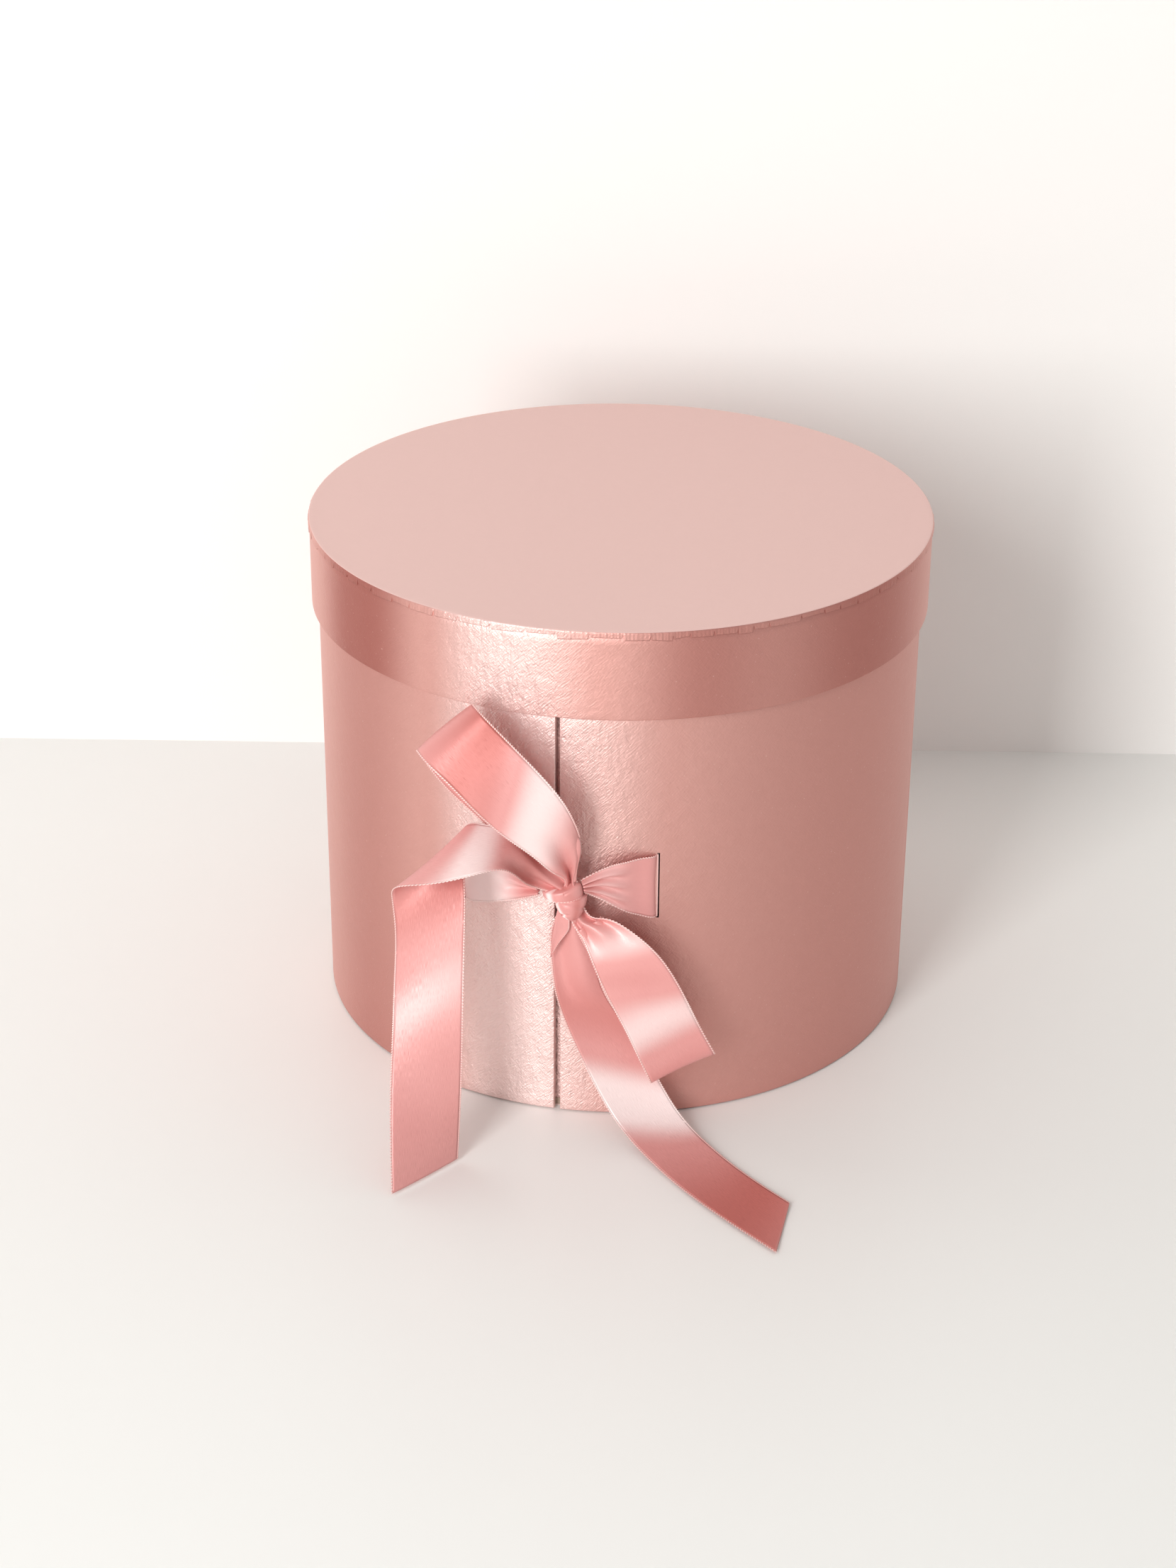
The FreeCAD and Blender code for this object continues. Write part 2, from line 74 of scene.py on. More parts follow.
# ---------------------------------------------------------------- surfaces
# A surface is (points, quads, places): an n x 3 array of millimetres, an m x 4
# array of point numbers and an n x 2 array that becomes the UV map. Places are
# metres (round, up) on paper and (metres along, 0 to 1 across) on ribbon.


def grid(points, places, closed_u=False, keep=None):
    """Quads over an array of points[u, v]; keep says which of them stay."""
    nu, nv = points.shape[:2]
    index = np.arange(nu * nv).reshape(nu, nv)
    if closed_u:
        index = np.vstack([index, index[:1]])
    quads = np.stack([index[:-1, :-1], index[1:, :-1], index[1:, 1:], index[:-1, 1:]], -1)
    if keep is not None:
        quads = quads[keep]
    return points.reshape(-1, 3), quads.reshape(-1, 4), places.reshape(-1, 2)


def joined(*parts):
    """Several surfaces as one."""
    points, quads, places, count = [], [], [], 0
    for some_points, some_quads, some_places in parts:
        points.append(some_points)
        quads.append(some_quads + count)
        places.append(some_places)
        count += len(some_points)
    return np.vstack(points), np.vstack(quads), np.vstack(places)


def turned_over(part):
    """The same surface with its faces the other way round."""
    points, quads, places = part
    return points, quads[:, ::-1], places


def put(name, part, finish, body, slot, *nodes, tone=None):
    """Make the object: mesh, UV map, material, body, and what it replaces.

    tone turns places into the attribute that paints highlight (paler) and shade (deeper) into a
    finish.
    """
    points, quads, places = part
    mesh = bpy.data.meshes.new(name)
    mesh.vertices.add(len(points))
    mesh.vertices.foreach_set("co", (points * MM).astype(np.float32).ravel())
    mesh.loops.add(quads.size)
    mesh.loops.foreach_set("vertex_index", quads.astype(np.int32).ravel())
    mesh.polygons.add(len(quads))
    mesh.polygons.foreach_set("loop_start", np.arange(0, quads.size, 4, dtype=np.int32))
    mesh.polygons.foreach_set("use_smooth", np.ones(len(quads), dtype=bool))
    mesh.update(calc_edges=True)
    layer = mesh.uv_layers.new(name="lay")
    layer.data.foreach_set("uv", places[quads.ravel()].astype(np.float32).ravel())
    if tone is not None:
        shade = mesh.attributes.new("tone", "FLOAT", "POINT")
        shade.data.foreach_set("value", tone(places).astype(np.float32))
    mesh.validate()
    closed = bmesh.new()
    closed.from_mesh(mesh)
    bmesh.ops.remove_doubles(closed, verts=closed.verts, dist=1e-6)
    closed.to_mesh(mesh)
    closed.free()
    mesh.materials.append(finish)
    piece = bpy.data.objects.new(name, mesh)
    bpy.context.scene.collection.objects.link(piece)
    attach(piece, body)
    if nodes:
        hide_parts(*nodes)
    return piece


def bent_edge(radius, depth, steps=4):
    """An edge that comes out of a wall and bends a quarter turn on to its face.

    Returns (offset from the edge, depth under the face): the foot of the edge,
    then radius * (1 - cos) and radius * (1 - sin) over a quarter turn.
    """
    turn = np.linspace(0, math.pi / 2, steps)
    offset = radius * (1 - np.cos(turn))
    below = radius * (1 - np.sin(turn))
    return np.append(0, offset), np.append(depth, below)


def span(low, high, pitch, *marks):
    """Even places from low to high, and the marks too."""
    count = max(int(math.ceil((high - low) / pitch)), 1)
    inner = np.linspace(low, high, count + 1)
    return np.unique(np.round(np.append(inner, [mark for mark in marks if low < mark < high]), 9))


def folded(low, high, pitch, radius, depth, marks=(), low_fold=True, high_fold=True):
    """Places across a sheet whose two borders turn into the wall behind it."""
    offset, below = bent_edge(radius, depth)
    inner = span(low + radius * low_fold, high - radius * high_fold, pitch, *marks)
    place, under = [inner], [np.zeros(len(inner))]
    if low_fold:
        place.insert(0, low + offset[:-1])
        under.insert(0, below[:-1])
    if high_fold:
        place.append(high - offset[:-1][::-1])
        under.append(below[:-1][::-1])
    return np.concatenate(place), np.concatenate(under)


def swell(angle, height, seed, size, pitch=60, waves=8):
    """Slow waves of a papered wall: sines of angle and height, summed."""
    chance = np.random.default_rng(seed)
    total = np.zeros(np.broadcast(angle, height).shape)
    for _ in range(waves):
        around = chance.integers(2, 14)
        up = chance.uniform(-1, 1) * TAU / pitch
        total = total + np.sin(around * angle + up * height + chance.uniform(0, TAU))
    return total * size / waves


def wall_sheet(radius, turns, levels, depth, holes=(), folds=(True,) * 4, seed=1, size=0.05):
    """A curved sheet on a round wall, its borders turned in, with square holes.

    turns and levels are (low, high) in radians and millimetres, a hole is both,
    and folds says which of those four borders are turned in, by depth.

    Point = ((radius - under) sin angle, -(radius - under) cos angle, height),
    where under is how far a border has turned into the wall.
    """
    edge = 0.35
    arc_marks = [mark * radius for hole in holes for mark in hole[:2]]
    arc, arc_under = folded(turns[0] * radius, turns[1] * radius, 2.0, edge, depth,
                            arc_marks, folds[0], folds[1])
    height, height_under = folded(levels[0], levels[1], 3.0, edge, depth,
                                  [mark for hole in holes for mark in hole[2:]],
                                  folds[2], folds[3])
    angle = (arc / radius)[:, None]
    tall = height[None, :]
    under = np.maximum(arc_under[:, None], height_under[None, :])
    out = radius - under + swell(angle, tall, seed, size) * (under == 0)
    points = np.stack(np.broadcast_arrays(out * np.sin(angle), -out * np.cos(angle), tall), -1)
    places = np.stack(np.broadcast_arrays(arc[:, None] * MM, tall * MM), -1)
    keep = np.ones((len(arc) - 1, len(height) - 1), dtype=bool)
    for start, stop, low, high in holes:
        across = (angle[:-1, 0] + angle[1:, 0]) / 2
        upward = (height[:-1] + height[1:]) / 2
        inside = ((across > start) & (across < stop))[:, None] & ((upward > low) & (upward < high))
        keep &= ~inside
    return grid(points, places, keep=keep)


def turned(radii, heights, count=360, seed=None, size=0.0):
    """A profile (radius, height) turned about Z: (r sin angle, -r cos angle, height)."""
    angle = np.arange(count)[:, None] * TAU / count
    out = np.broadcast_to(radii, (count, len(radii))).copy()
    tall = np.broadcast_to(heights, (count, len(heights)))
    if seed is not None:
        out = out + swell(angle, tall, seed, size)
    points = np.stack([out * np.sin(angle), -out * np.cos(angle), tall], -1)
    places = np.stack(np.broadcast_arrays(angle * out.max() * MM, tall * MM), -1)
    return grid(points, places, closed_u=True)


# ------------------------------------------------------------------ finishes


class Wire:
    """A socket in an expression: sums and products add their Math nodes."""

    def __init__(self, finish, socket):
        self.finish = finish
        self.socket = socket

    def reckon(self, operation, *others):
        sockets = dict(enumerate((self, *others)))
        return self.finish.add("Math", sockets, operation=operation)

    def __add__(self, other):
        return self.reckon("ADD", other)

    def __radd__(self, other):
        return self.finish.add("Math", {0: other, 1: self}, operation="ADD")

    def __sub__(self, other):
        return self.reckon("SUBTRACT", other)

    def __mul__(self, other):
        return self.reckon("MULTIPLY", other)

    def __abs__(self):
        return self.reckon("ABSOLUTE")


class Finish:
    """One material and its nodes."""

    def __init__(self, name):
        self.material = bpy.data.materials.new(name)
        self.material.use_nodes = True
        self.tree = self.material.node_tree
        self.tree.nodes.clear()

    def add(self, kind, sockets=(), out=0, **settings):
        """A node: its settings first, then the values or links of its sockets."""
        node = self.tree.nodes.new("ShaderNode" + kind)
        for setting, choice in settings.items():
            setattr(node, setting, choice)
        for socket, value in dict(sockets).items():
            if isinstance(value, Wire):
                self.tree.links.new(value.socket, node.inputs[socket])
            else:
                node.inputs[socket].default_value = value
        return Wire(self, node.outputs[out] if node.outputs else None)

    def place(self):
        """The point in metres, as the CAD has it."""
        return self.add("TexCoord", out="Object")

    def lay(self):
        """The place on the sheet."""
        return self.add("UVMap", uv_map="lay")

    def split(self, vector):
        node = self.add("SeparateXYZ", {0: vector}).socket.node
        return [Wire(self, node.outputs[axis]) for axis in range(3)]

    def vector(self, x, y, z=0.0):
        return self.add("CombineXYZ", {0: x, 1: y, 2: z})

    def noise(self, vector, scale, detail=2.0, rough=0.5):
        return self.add("TexNoise", {"Vector": vector, "Scale": scale, "Detail": detail,
                                     "Roughness": rough})

    def blend(self, amount, first, second):
        """Between two colours."""
        return self.add("Mix", {0: amount, 6: first, 7: second}, out=2, data_type="RGBA")

    def bump(self, height, distance, strength=1.0, under=None):
        """A normal from a height, on top of another relief if there is one."""
        sockets = {"Height": height, "Distance": distance, "Strength": strength}
        if under is not None:
            sockets["Normal"] = under
        return self.add("Bump", sockets)

    def done(self, **sockets):
        """The shader and the output; underscores stand for spaces."""
        named = {name.replace("_", " "): value for name, value in sockets.items()}
        shader = self.add("BsdfPrincipled", named)
        self.add("OutputMaterial", {"Surface": shader})
        return self.material


def hue(red, green, blue):
    """A screen colour from 0 to 255 as a linear one."""
    part = np.array([red, green, blue]) / 255
    linear = np.where(part <= 0.04045, part / 12.92, ((part + 0.055) / 1.055) ** 2.4)
    return (*linear.tolist(), 1.0)


def within(wire, low, high):
    """0 below low, 1 above high, smooth between."""
    return wire.finish.add("MapRange", {"Value": wire, "From Min": low, "From Max": high},
                           interpolation_type="SMOOTHSTEP")


def pearl_paper(name, flat=False):
    """Pearly pink paper: short fibres pressed in at a slant, a faint mottle.

    On a wall the pattern lies on (arc, height), on a flat top on (x, y). The tone
    attribute paints highlight (pale) and shade (deep) into the colour; where the
    tone is pale the fibres stand out more and the paper is wrinkled.
    """
    mean_radius = 0.1035
    paint = Finish(name)
    x, y, z = paint.split(paint.place())
    if flat:
        across, up = x, y
    else:
        across = paint.add("Math", {0: x, 1: y * -1.0}, operation="ARCTAN2") * mean_radius
        up = z
    falling = paint.noise(paint.vector((across + up) * 330.0, (across - up) * 1500.0), 1.0, 2.0)
    rising = paint.noise(paint.vector((across - up) * 330.0, (across + up) * 1500.0), 1.0, 2.0)
    sheet = paint.vector(across, up)
    mottle = paint.noise(sheet, 240.0, 3.0, 0.6)
    cloud = paint.noise(sheet, 28.0, 2.0, 0.5)
    speck = paint.noise(sheet, 1100.0, 1.0, 0.5)
    weave = falling * 0.6 + rising * 0.4
    tone = paint.add("Attribute", out="Fac", attribute_name="tone")
    # The flat top is a paler, less metallic copy of the wall paper; its paler colour is partly
    # painted light, for the way the top catches the light.
    if flat:
        deep, pale, metal, rough = hue(226, 188, 182), hue(232, 196, 190), 0.25, 0.5
        weave_strength, mottle_strength, rough_spread = 0.25, 0.12, 0.08
    else:
        deep, pale, metal, rough = hue(216, 160, 151), hue(228, 176, 168), 0.85, 0.46
        weave_strength, mottle_strength, rough_spread = 1.0, 0.6, 0.1
    colour = paint.blend(mottle * 0.5 + weave * 0.5, deep, pale)
    # Painted highlight where the tone is above 0, painted shade where it is below.
    colour = paint.blend(within(tone, 0.0, 1.0), colour, hue(253, 229, 225))
    colour = paint.blend(within(tone * -1.0, 0.0, 1.0), colour, hue(180, 112, 103))
    colour = paint.blend(within(speck, 0.70, 0.8) * 0.35, colour, hue(240, 208, 200))
    near = within(tone, 0.0, 0.7)
    wrinkle = paint.noise(paint.vector(across * 270.0, up * 120.0), 1.0, 3.0, 0.6)
    fibres = weave * (0.85 + near * 2.2) + speck * 0.15
    relief = paint.bump(fibres, 0.00016, weave_strength)
    hills = mottle * 0.45 + cloud * 0.55 + wrinkle * near * 1.7
    relief = paint.bump(hills, 0.0007, mottle_strength, under=relief)
    return paint.done(Base_Color=colour, Metallic=metal, Roughness=rough + mottle * rough_spread,
                      Normal=relief)


def satin_ribbon(name):
    """Double-faced satin: lengthwise threads that spread light across it.

    The UV map holds metres along and 0 to 1 across; the picots lie near 0 and 1.
    Each thread leans the surface a little to one side, by up to 0.45 in slope.
    """
    paint = Finish(name)
    along, across, _ = paint.split(paint.lay())
    thread = paint.noise(paint.vector(along * 420.0, across * 320.0), 1.0, 1.0, 0.5)
    drift = paint.noise(paint.vector(along * 55.0, across * 1.2), 1.0, 2.0, 0.5)
    middle = abs(across - 0.5)
    picot = within(middle, 0.476, 0.482)
    tone = paint.add("Attribute", out="Fac", attribute_name="tone")
    stitch = paint.add("Math", {0: along * (TAU / (PICOT * MM))}, operation="SINE")
    colour = paint.blend(drift, hue(221, 151, 148), hue(228, 162, 158))
    # Painted highlight where the tone is above 0, painted shade where it is below.
    colour = paint.blend(within(tone, 0.0, 1.0), colour, hue(252, 231, 229))
    colour = paint.blend(within(tone * -1.0, 0.0, 1.0), colour, hue(190, 102, 94))
    colour = paint.blend(picot * (0.45 + stitch * 0.3), colour, hue(252, 226, 220))
    facing = paint.add("NewGeometry", out="Normal")
    lengthwise = paint.add("Tangent", direction_type="UV_MAP", uv_map="lay")
    sideways = paint.add("VectorMath", {0: facing, 1: lengthwise}, operation="CROSS_PRODUCT")
    lean = paint.add("VectorMath", {0: sideways, "Scale": (thread - 0.5) * 0.9}, operation="SCALE")
    leaned = paint.add("VectorMath", {0: facing, 1: lean}, operation="ADD")
    normal = paint.add("VectorMath", {0: leaned}, operation="NORMALIZE")
    return paint.done(Base_Color=colour, Roughness=0.38, Metallic=0.12,
                      Specular_IOR_Level=0.5, Normal=normal)


def board(name):
    """Greyboard: mixed fibres and dark flecks."""
    paint = Finish(name)
    here = paint.place()
    fibre = paint.noise(here, 900.0, 3.0, 0.6)
    fleck = paint.noise(here, 1600.0, 1.0, 0.5)
    colour = paint.blend(fibre, hue(150, 130, 116), hue(186, 166, 150))
    colour = paint.blend(within(fleck, 0.66, 0.74) * 0.5, colour, hue(92, 76, 66))
    return paint.done(Base_Color=colour, Roughness=0.85, Normal=paint.bump(fibre, 0.00008, 0.6))


def slot_shade_finish(name):
    """Painted shade: dark brown board that stands for the shade inside a ribbon slot."""
    paint = Finish(name)
    fibre = paint.noise(paint.place(), 1500.0, 2.0, 0.6)
    colour = paint.blend(fibre, hue(48, 28, 24), hue(84, 54, 46))
    return paint.done(Base_Color=colour, Roughness=0.95, Specular_IOR_Level=0.1)


def lining_paper(name):
    """Smooth pale pink lining paper, matt, with a faint tooth."""
    paint = Finish(name)
    here = paint.place()
    tooth = paint.noise(here, 1400.0, 2.0, 0.6)
    cloud = paint.noise(here, 30.0, 2.0, 0.5)
    colour = paint.blend(cloud, hue(232, 198, 190), hue(240, 211, 203))
    return paint.done(Base_Color=colour, Roughness=0.62 + tooth * 0.1,
                      Normal=paint.bump(tooth, 0.00004, 0.5))


PEARL = pearl_paper("pearl_paper_wall")
PEARL_TOP = pearl_paper("pearl_paper_top", flat=True)
SATIN = satin_ribbon("satin_ribbon")
BOARD = board("greyboard")
LINING = lining_paper("lining_paper")
SLOT_SHADE = slot_shade_finish("slot_painted_shade")

# ------------------------------------------------------------------- papers

LID_LOW, LID_HIGH = extent("lid_top_paper")
LID_R = reach("lid_top_paper")
TOP = LID_HIGH[2]
FLAP_FOOT = LID_LOW[2]
RIM_R = reach("lid_rim_paper")
SKIRT = extent("lid_rim_paper")[0][2]
WALL_R = reach("shell_paper")
SHELL_LOW, SHELL_HIGH = extent("shell_paper")
DOOR_LOW, DOOR_HIGH = extent("right_door_paper")
HINGE = math.radians(90) - 0.2 / WALL_R    # a door's hinge side, from the seam
SEAM = 1.0 / WALL_R                        # a door's free side
BEND = 0.6                                 # radius of the top paper's bend


def lid_top():
    """The top paper's disc, a little dished, out to the middle of its bend.

    The dish is a fall of 0.12 sin(2a + 0.6) + 0.08 sin(3a + 2.1), where below
    zero, times the cube of the way out.
    """
    angle = np.arange(720)[:, None] * TAU / 720
    turn = np.linspace(0, math.pi / 4, 4)[1:]
    flat = np.array([0, 12, 30, 50, 68, 82, 92, 98, 101, 103, LID_R - BEND])
    radii = np.append(flat, LID_R - BEND + BEND * np.sin(turn))[None, :]
    heights = np.append(np.full(len(flat), TOP), TOP - BEND + BEND * np.cos(turn))[None, :]
    dish = 0.12 * np.sin(2 * angle + 0.6) + 0.08 * np.sin(3 * angle + 2.1)
    heights = heights + np.minimum(dish, 0) * (radii / LID_R) ** 3 * (radii < LID_R - BEND)
    points = np.stack([radii * np.sin(angle), -radii * np.cos(angle), heights], -1)
    return turned_over(grid(points, points[..., :2] * MM, closed_u=True))


def lid_flaps():
    """The top paper's turned-down edge, cut into flaps that lie unevenly.

    Point = (r sin angle, -r cos angle, height) down a bend and a short fall.
    Each flap ends higher than the deepest by its own share, leans, lifts off
    the skirt by up to 0.22 mm and is cut back by a notch at both its sides.
    """
    count, flaps = 2880, 78
    angle = np.arange(count) * TAU / count
    chance = np.random.default_rng(5)
    share = np.cumsum(chance.uniform(0.6, 1.4, flaps))
    share = np.append(0, share / share[-1])
    number = np.clip(np.searchsorted(share, angle / TAU, side="right") - 1, 0, flaps - 1)
    phase = (angle / TAU - share[number]) / (share[number + 1] - share[number])
    drop = TOP - FLAP_FOOT
    uneven = chance.uniform(-0.45, 0.0, flaps)[number] * drop
    lean = chance.uniform(-0.25, 0.25, flaps)[number] * (phase - 0.5) * drop
    notch_share, notch_depth = 0.05, 0.75
    notch = np.clip(1 - np.minimum(phase, 1 - phase) / notch_share, 0, 1)
    foot = np.minimum(drop + uneven + lean, drop) * (1 - notch_depth * notch)
    lift = chance.uniform(-0.05, 0.22, flaps)[number] * (0.2 + 0.8 * phase)
    crumple = 0.07 * np.sin(angle * 410 + 3 * np.sin(angle * 37)) * np.sin(angle * 173 + 1)
    turn = np.linspace(math.pi / 4, math.pi / 2, 4)
    down = np.array([0.2, 0.4, 0.6, 0.8, 0.98, 1.0])
    radii = np.concatenate([LID_R - BEND + BEND * np.sin(turn), np.full(5, LID_R),
                            [LID_R - PAPER_THICK]])
    radii = np.broadcast_to(radii, (count, len(radii))).copy()
    loose = np.array([0.3, 0.6, 0.6, 0.7, 0.8, 0.9, 1, 1])
    radii[:, 1:-1] += (lift + crumple)[:, None] * loose
    heights = np.broadcast_to(TOP - BEND + BEND * np.cos(turn), (count, 4))
    falling = TOP - BEND - (foot[:, None] - BEND) * down
    heights = np.hstack([heights, falling])
    around = angle[:, None]
    points = np.stack([radii * np.sin(around), -radii * np.cos(around), heights], -1)
    places = np.stack(np.broadcast_arrays(around * LID_R * MM, heights * MM), -1)
    return turned_over(grid(points, places, closed_u=True))


def lid_rim():
    """The rim paper: down the skirt, round its foot and up inside."""
    hem, curl = 10.0, 0.35
    offset, below = bent_edge(curl, curl, 6)
    inner = RIM_R - RIM_THICK
    radii = np.concatenate([[inner, inner, inner, inner + 0.3, RIM_R - 0.4], RIM_R - below[1:],
                            np.full(8, RIM_R), [RIM_R - 0.2]])
    heights = np.concatenate([[SKIRT + hem, SKIRT + 0.4, SKIRT + 0.05, SKIRT, SKIRT],
                              SKIRT + offset[1:], np.linspace(SKIRT + 2, TOP - 0.5, 8),
                              [TOP - 0.4]])
    return turned(radii, heights, 480, seed=11, size=0.05)


def shell():
    """The fixed wall's paper: its back half, the ring under the lid, its hem."""
    crease, ring, hem = 0.4 / WALL_R, 5.75, 10.0
    soft, bend = 0.1, 0.35
    rim = SHELL_HIGH[2]
    inner = WALL_R - ring
    lower = wall_sheet(WALL_R, (HINGE + crease, TAU - HINGE - crease), (SHELL_LOW[2], SKIRT),
                       BORDER_DEPTH, folds=(True, True, True, False), seed=21)
    radii = np.array([WALL_R - 1.2, WALL_R, WALL_R, WALL_R, WALL_R - soft, WALL_R - bend,
                      inner + bend, inner + soft, inner, inner])
    heights = np.array([SKIRT, SKIRT, SKIRT + 12, rim - bend, rim - soft, rim,
                        rim, rim - soft, rim - bend, rim - hem])
    return joined(lower, turned(radii, heights))


SLOT_TURN = math.radians(18)
SLOT_NEAR = 0.15 / WALL_R    # the slot's side towards the seam
SLOT_FAR = 0.7 / WALL_R      # and away from it
SLOT_LEVELS = (SLOT_LEVEL - 11.75, SLOT_LEVEL + 11.75)


def door(side, seed):
    """A door's paper with its ribbon slot; side is 1 for right, -1 for left.

    Within 8 mm of the seam it leans towards the other door, by 0.4 mm at the head.
    """
    lean, leaning_width = 0.4, 8
    turns = sorted((side * SEAM, side * HINGE))
    sides = sorted((side * (SLOT_TURN - SLOT_NEAR), side * (SLOT_TURN + SLOT_FAR)))
    hole = (*sides, *SLOT_LEVELS)
    part = wall_sheet(WALL_R, turns, (DOOR_LOW[2], DOOR_HIGH[2]), BORDER_DEPTH, [hole], seed=seed)
    points = part[0]
    near = np.clip(1 - np.abs(points[:, 0]) / leaning_width, 0, 1)
    up = (points[:, 2] - DOOR_LOW[2]) / (DOOR_HIGH[2] - DOOR_LOW[2])
    points[:, 0] -= side * lean * near * up
    return part


def slot_edge(side):
    """The four walls of a ribbon slot, dark brown as painted shade inside the slot."""
    start = side * SLOT_TURN - SLOT_NEAR if side > 0 else side * SLOT_TURN - SLOT_FAR
    stop = start + SLOT_NEAR + SLOT_FAR
    low, high = SLOT_LEVELS
    angle = np.array([start, stop, stop, start])[:, None]
    tall = np.array([low, low, high, high])[:, None]
    out = WALL_R - np.array([0.02, 1.2, BORDER_DEPTH - 0.1])[None, :]
    points = np.stack(np.broadcast_arrays(out * np.sin(angle), -out * np.cos(angle), tall), -1)
    places = np.stack(np.broadcast_arrays(angle * out * MM, tall * MM), -1)
    return turned_over(grid(points, places, closed_u=True))


DRUM_R = reach("drum_paper")
WINDOW_HALF = 72
WINDOW_LEVELS = (45.0, 81.0)


def drum():
    """The drum's paper behind the doors, with the gift window."""
    low, high = extent("drum_paper")
    half = math.asin(WINDOW_HALF / DRUM_R)
    return wall_sheet(DRUM_R, (-math.pi, math.pi), (low[2], high[2]), PAPER_THICK,
                      [(-half, half, *WINDOW_LEVELS)], folds=(False, False, True, True), seed=51)


def painted_light_round(radius, *bands):
    """Paler (above 0) and deeper bands of a round wall: bells of the angle.

    A band is (degrees from the seam, spread, amount); pale bands are painted
    highlight, deep ones painted shade.
    """
    def tone(places):
        turn = places[:, 0] / (radius * MM)
        turn = (np.degrees(turn) + 180) % 360 - 180
        return sum(amount * np.exp(-((turn - place) / spread) ** 2)
                   for place, spread, amount in bands)
    return tone


# Painted highlight near the seam and painted shade further round, on the walls and the lid's skirt
# and flaps.
WALL_PAINTED_LIGHT = painted_light_round(WALL_R, (-9, 14, 1.0), (12, 11, 0.3), (-44, 18, -0.45), (62, 40, -0.4))
RIM_PAINTED_LIGHT = painted_light_round(RIM_R, (-10, 14, 0.65), (-42, 14, -1.0), (24, 12, -0.5), (60, 24, -0.75))
put("lid_top_skin", lid_top(), PEARL_TOP, "lid", "pearl_paper", "lid_top_paper")
put("lid_flaps_skin", lid_flaps(), PEARL, "lid", "pearl_paper", "lid_top_paper", tone=RIM_PAINTED_LIGHT)
put("lid_rim_skin", lid_rim(), PEARL, "lid", "pearl_paper", "lid_rim_paper", tone=RIM_PAINTED_LIGHT)
put("shell_skin", shell(), PEARL, "box", "pearl_paper", "shell_paper", tone=WALL_PAINTED_LIGHT)
# The drum gets a narrow painted highlight at the seam, where light comes in between the doors.
put("drum_skin", drum(), PEARL, "box", "pearl_paper", "drum_paper",
    tone=painted_light_round(DRUM_R, (0, 1.6, 0.7)))
put("left_door_skin", door(-1, 31), PEARL, "left_door", "pearl_paper", "left_door_paper",
    tone=WALL_PAINTED_LIGHT)
put("right_door_skin", door(1, 41), PEARL, "right_door", "pearl_paper", "right_door_paper",
    tone=WALL_PAINTED_LIGHT)

# The slots' walls are dark brown: painted shade inside the slots.
for side, body in ((-1, "left_door"), (1, "right_door")):
    put(body + "_slot_edge", slot_edge(side), SLOT_SHADE, body, "greyboard")

# ------------------------------------------------------------------ linings
# Thin papers a hair off the boards: inside the lid, in the tub over the shelf,
# in the gift compartment under it, and on the backs of the doors.

SHELF_TOP = extent("shelf_board")[1][2]
SHELF_UNDER = extent("shelf_board")[0][2]
FLOOR_TOP = extent("base_board")[1][2]
DRUM_OUT = reach("drum_board")
DRUM_IN = DRUM_OUT - DRUM_THICK
LID_IN = RIM_R - RIM_THICK
LID_UNDER = extent("lid_top_board")[0][2]
OFF = 0.06          # a lining off its board
LINING_SIDES = 240


def dished(wall, foot, top):
    """A round paper floor with its wall: radius out to the wall, then height up."""
    radii = np.array([0, wall * 0.3, wall * 0.6, wall * 0.85, wall - 0.8, wall - 0.25, wall, wall])
    heights = np.array([foot, foot, foot, foot, foot, foot + 0.2, foot + 0.8, top])
    return turned(radii, heights, LINING_SIDES)


def round_patch(radius, turns, levels, across, upward):
    """A piece of a round wall between two angles and two heights, facing out."""
    angle = np.linspace(*turns, across)[:, None]
    tall = np.linspace(*levels, upward)[None, :]
    points = np.stack(np.broadcast_arrays(radius * np.sin(angle), -radius * np.cos(angle),
                                          tall), -1)
    places = np.stack(np.broadcast_arrays(angle * radius * MM, tall * MM), -1)
    return grid(points, places)


def gift_lining():
    """The gift compartment's floor, ceiling and wall, open at the window."""
    wall = DRUM_IN - OFF
    half = math.asin(WINDOW_HALF / DRUM_OUT)
    foot, top = FLOOR_TOP + OFF, SHELF_UNDER - OFF
    steps = np.array([0, wall * 0.35, wall * 0.7, wall - 0.3])
    floor = turned(steps, np.full(4, foot), LINING_SIDES)
    ceiling = turned_over(turned(steps, np.full(4, top), LINING_SIDES))
    back = round_patch(wall, (half + 0.002, TAU - half - 0.002), (foot, top), 200, 12)
    front = round_patch(wall, (-half, half), (foot, WINDOW_LEVELS[0] - 0.1), 60, 4)
    return joined(floor, ceiling, turned_over(joined(back, front)))


def door_lining(side):
    """The lining on a door's back, inside its turned-in borders."""
    turns = np.sort([side * (SEAM + 0.006), side * (HINGE - 0.01)])
    levels = (DOOR_LOW[2] + 1.2, DOOR_HIGH[2] - 1.2)
    return turned_over(round_patch(WALL_R - BORDER_DEPTH - OFF, turns, levels, 90, 12))


tub = turned_over(dished(DRUM_IN - OFF, SHELF_TOP + OFF, SHELL_HIGH[2] - 9.0))
put("tub_lining", tub, LINING, "box", "lining_paper")
put("gift_lining", gift_lining(), LINING, "box", "lining_paper")
put("lid_lining", dished(LID_IN - OFF, LID_UNDER - OFF, SKIRT + 9.0), LINING, "lid",
    "lining_paper")
put("left_door_lining", door_lining(-1), LINING, "left_door", "lining_paper")
put("right_door_lining", door_lining(1), LINING, "right_door", "lining_paper")

# ------------------------------------------------------------------- ribbon
# Stations much as in the CAD model: the ribbon's two edges, each (degrees from
# the seam, millimetres in front of the doors, millimetres above the slots'
# middle). Here the ends also reach into the slots and into the knot.

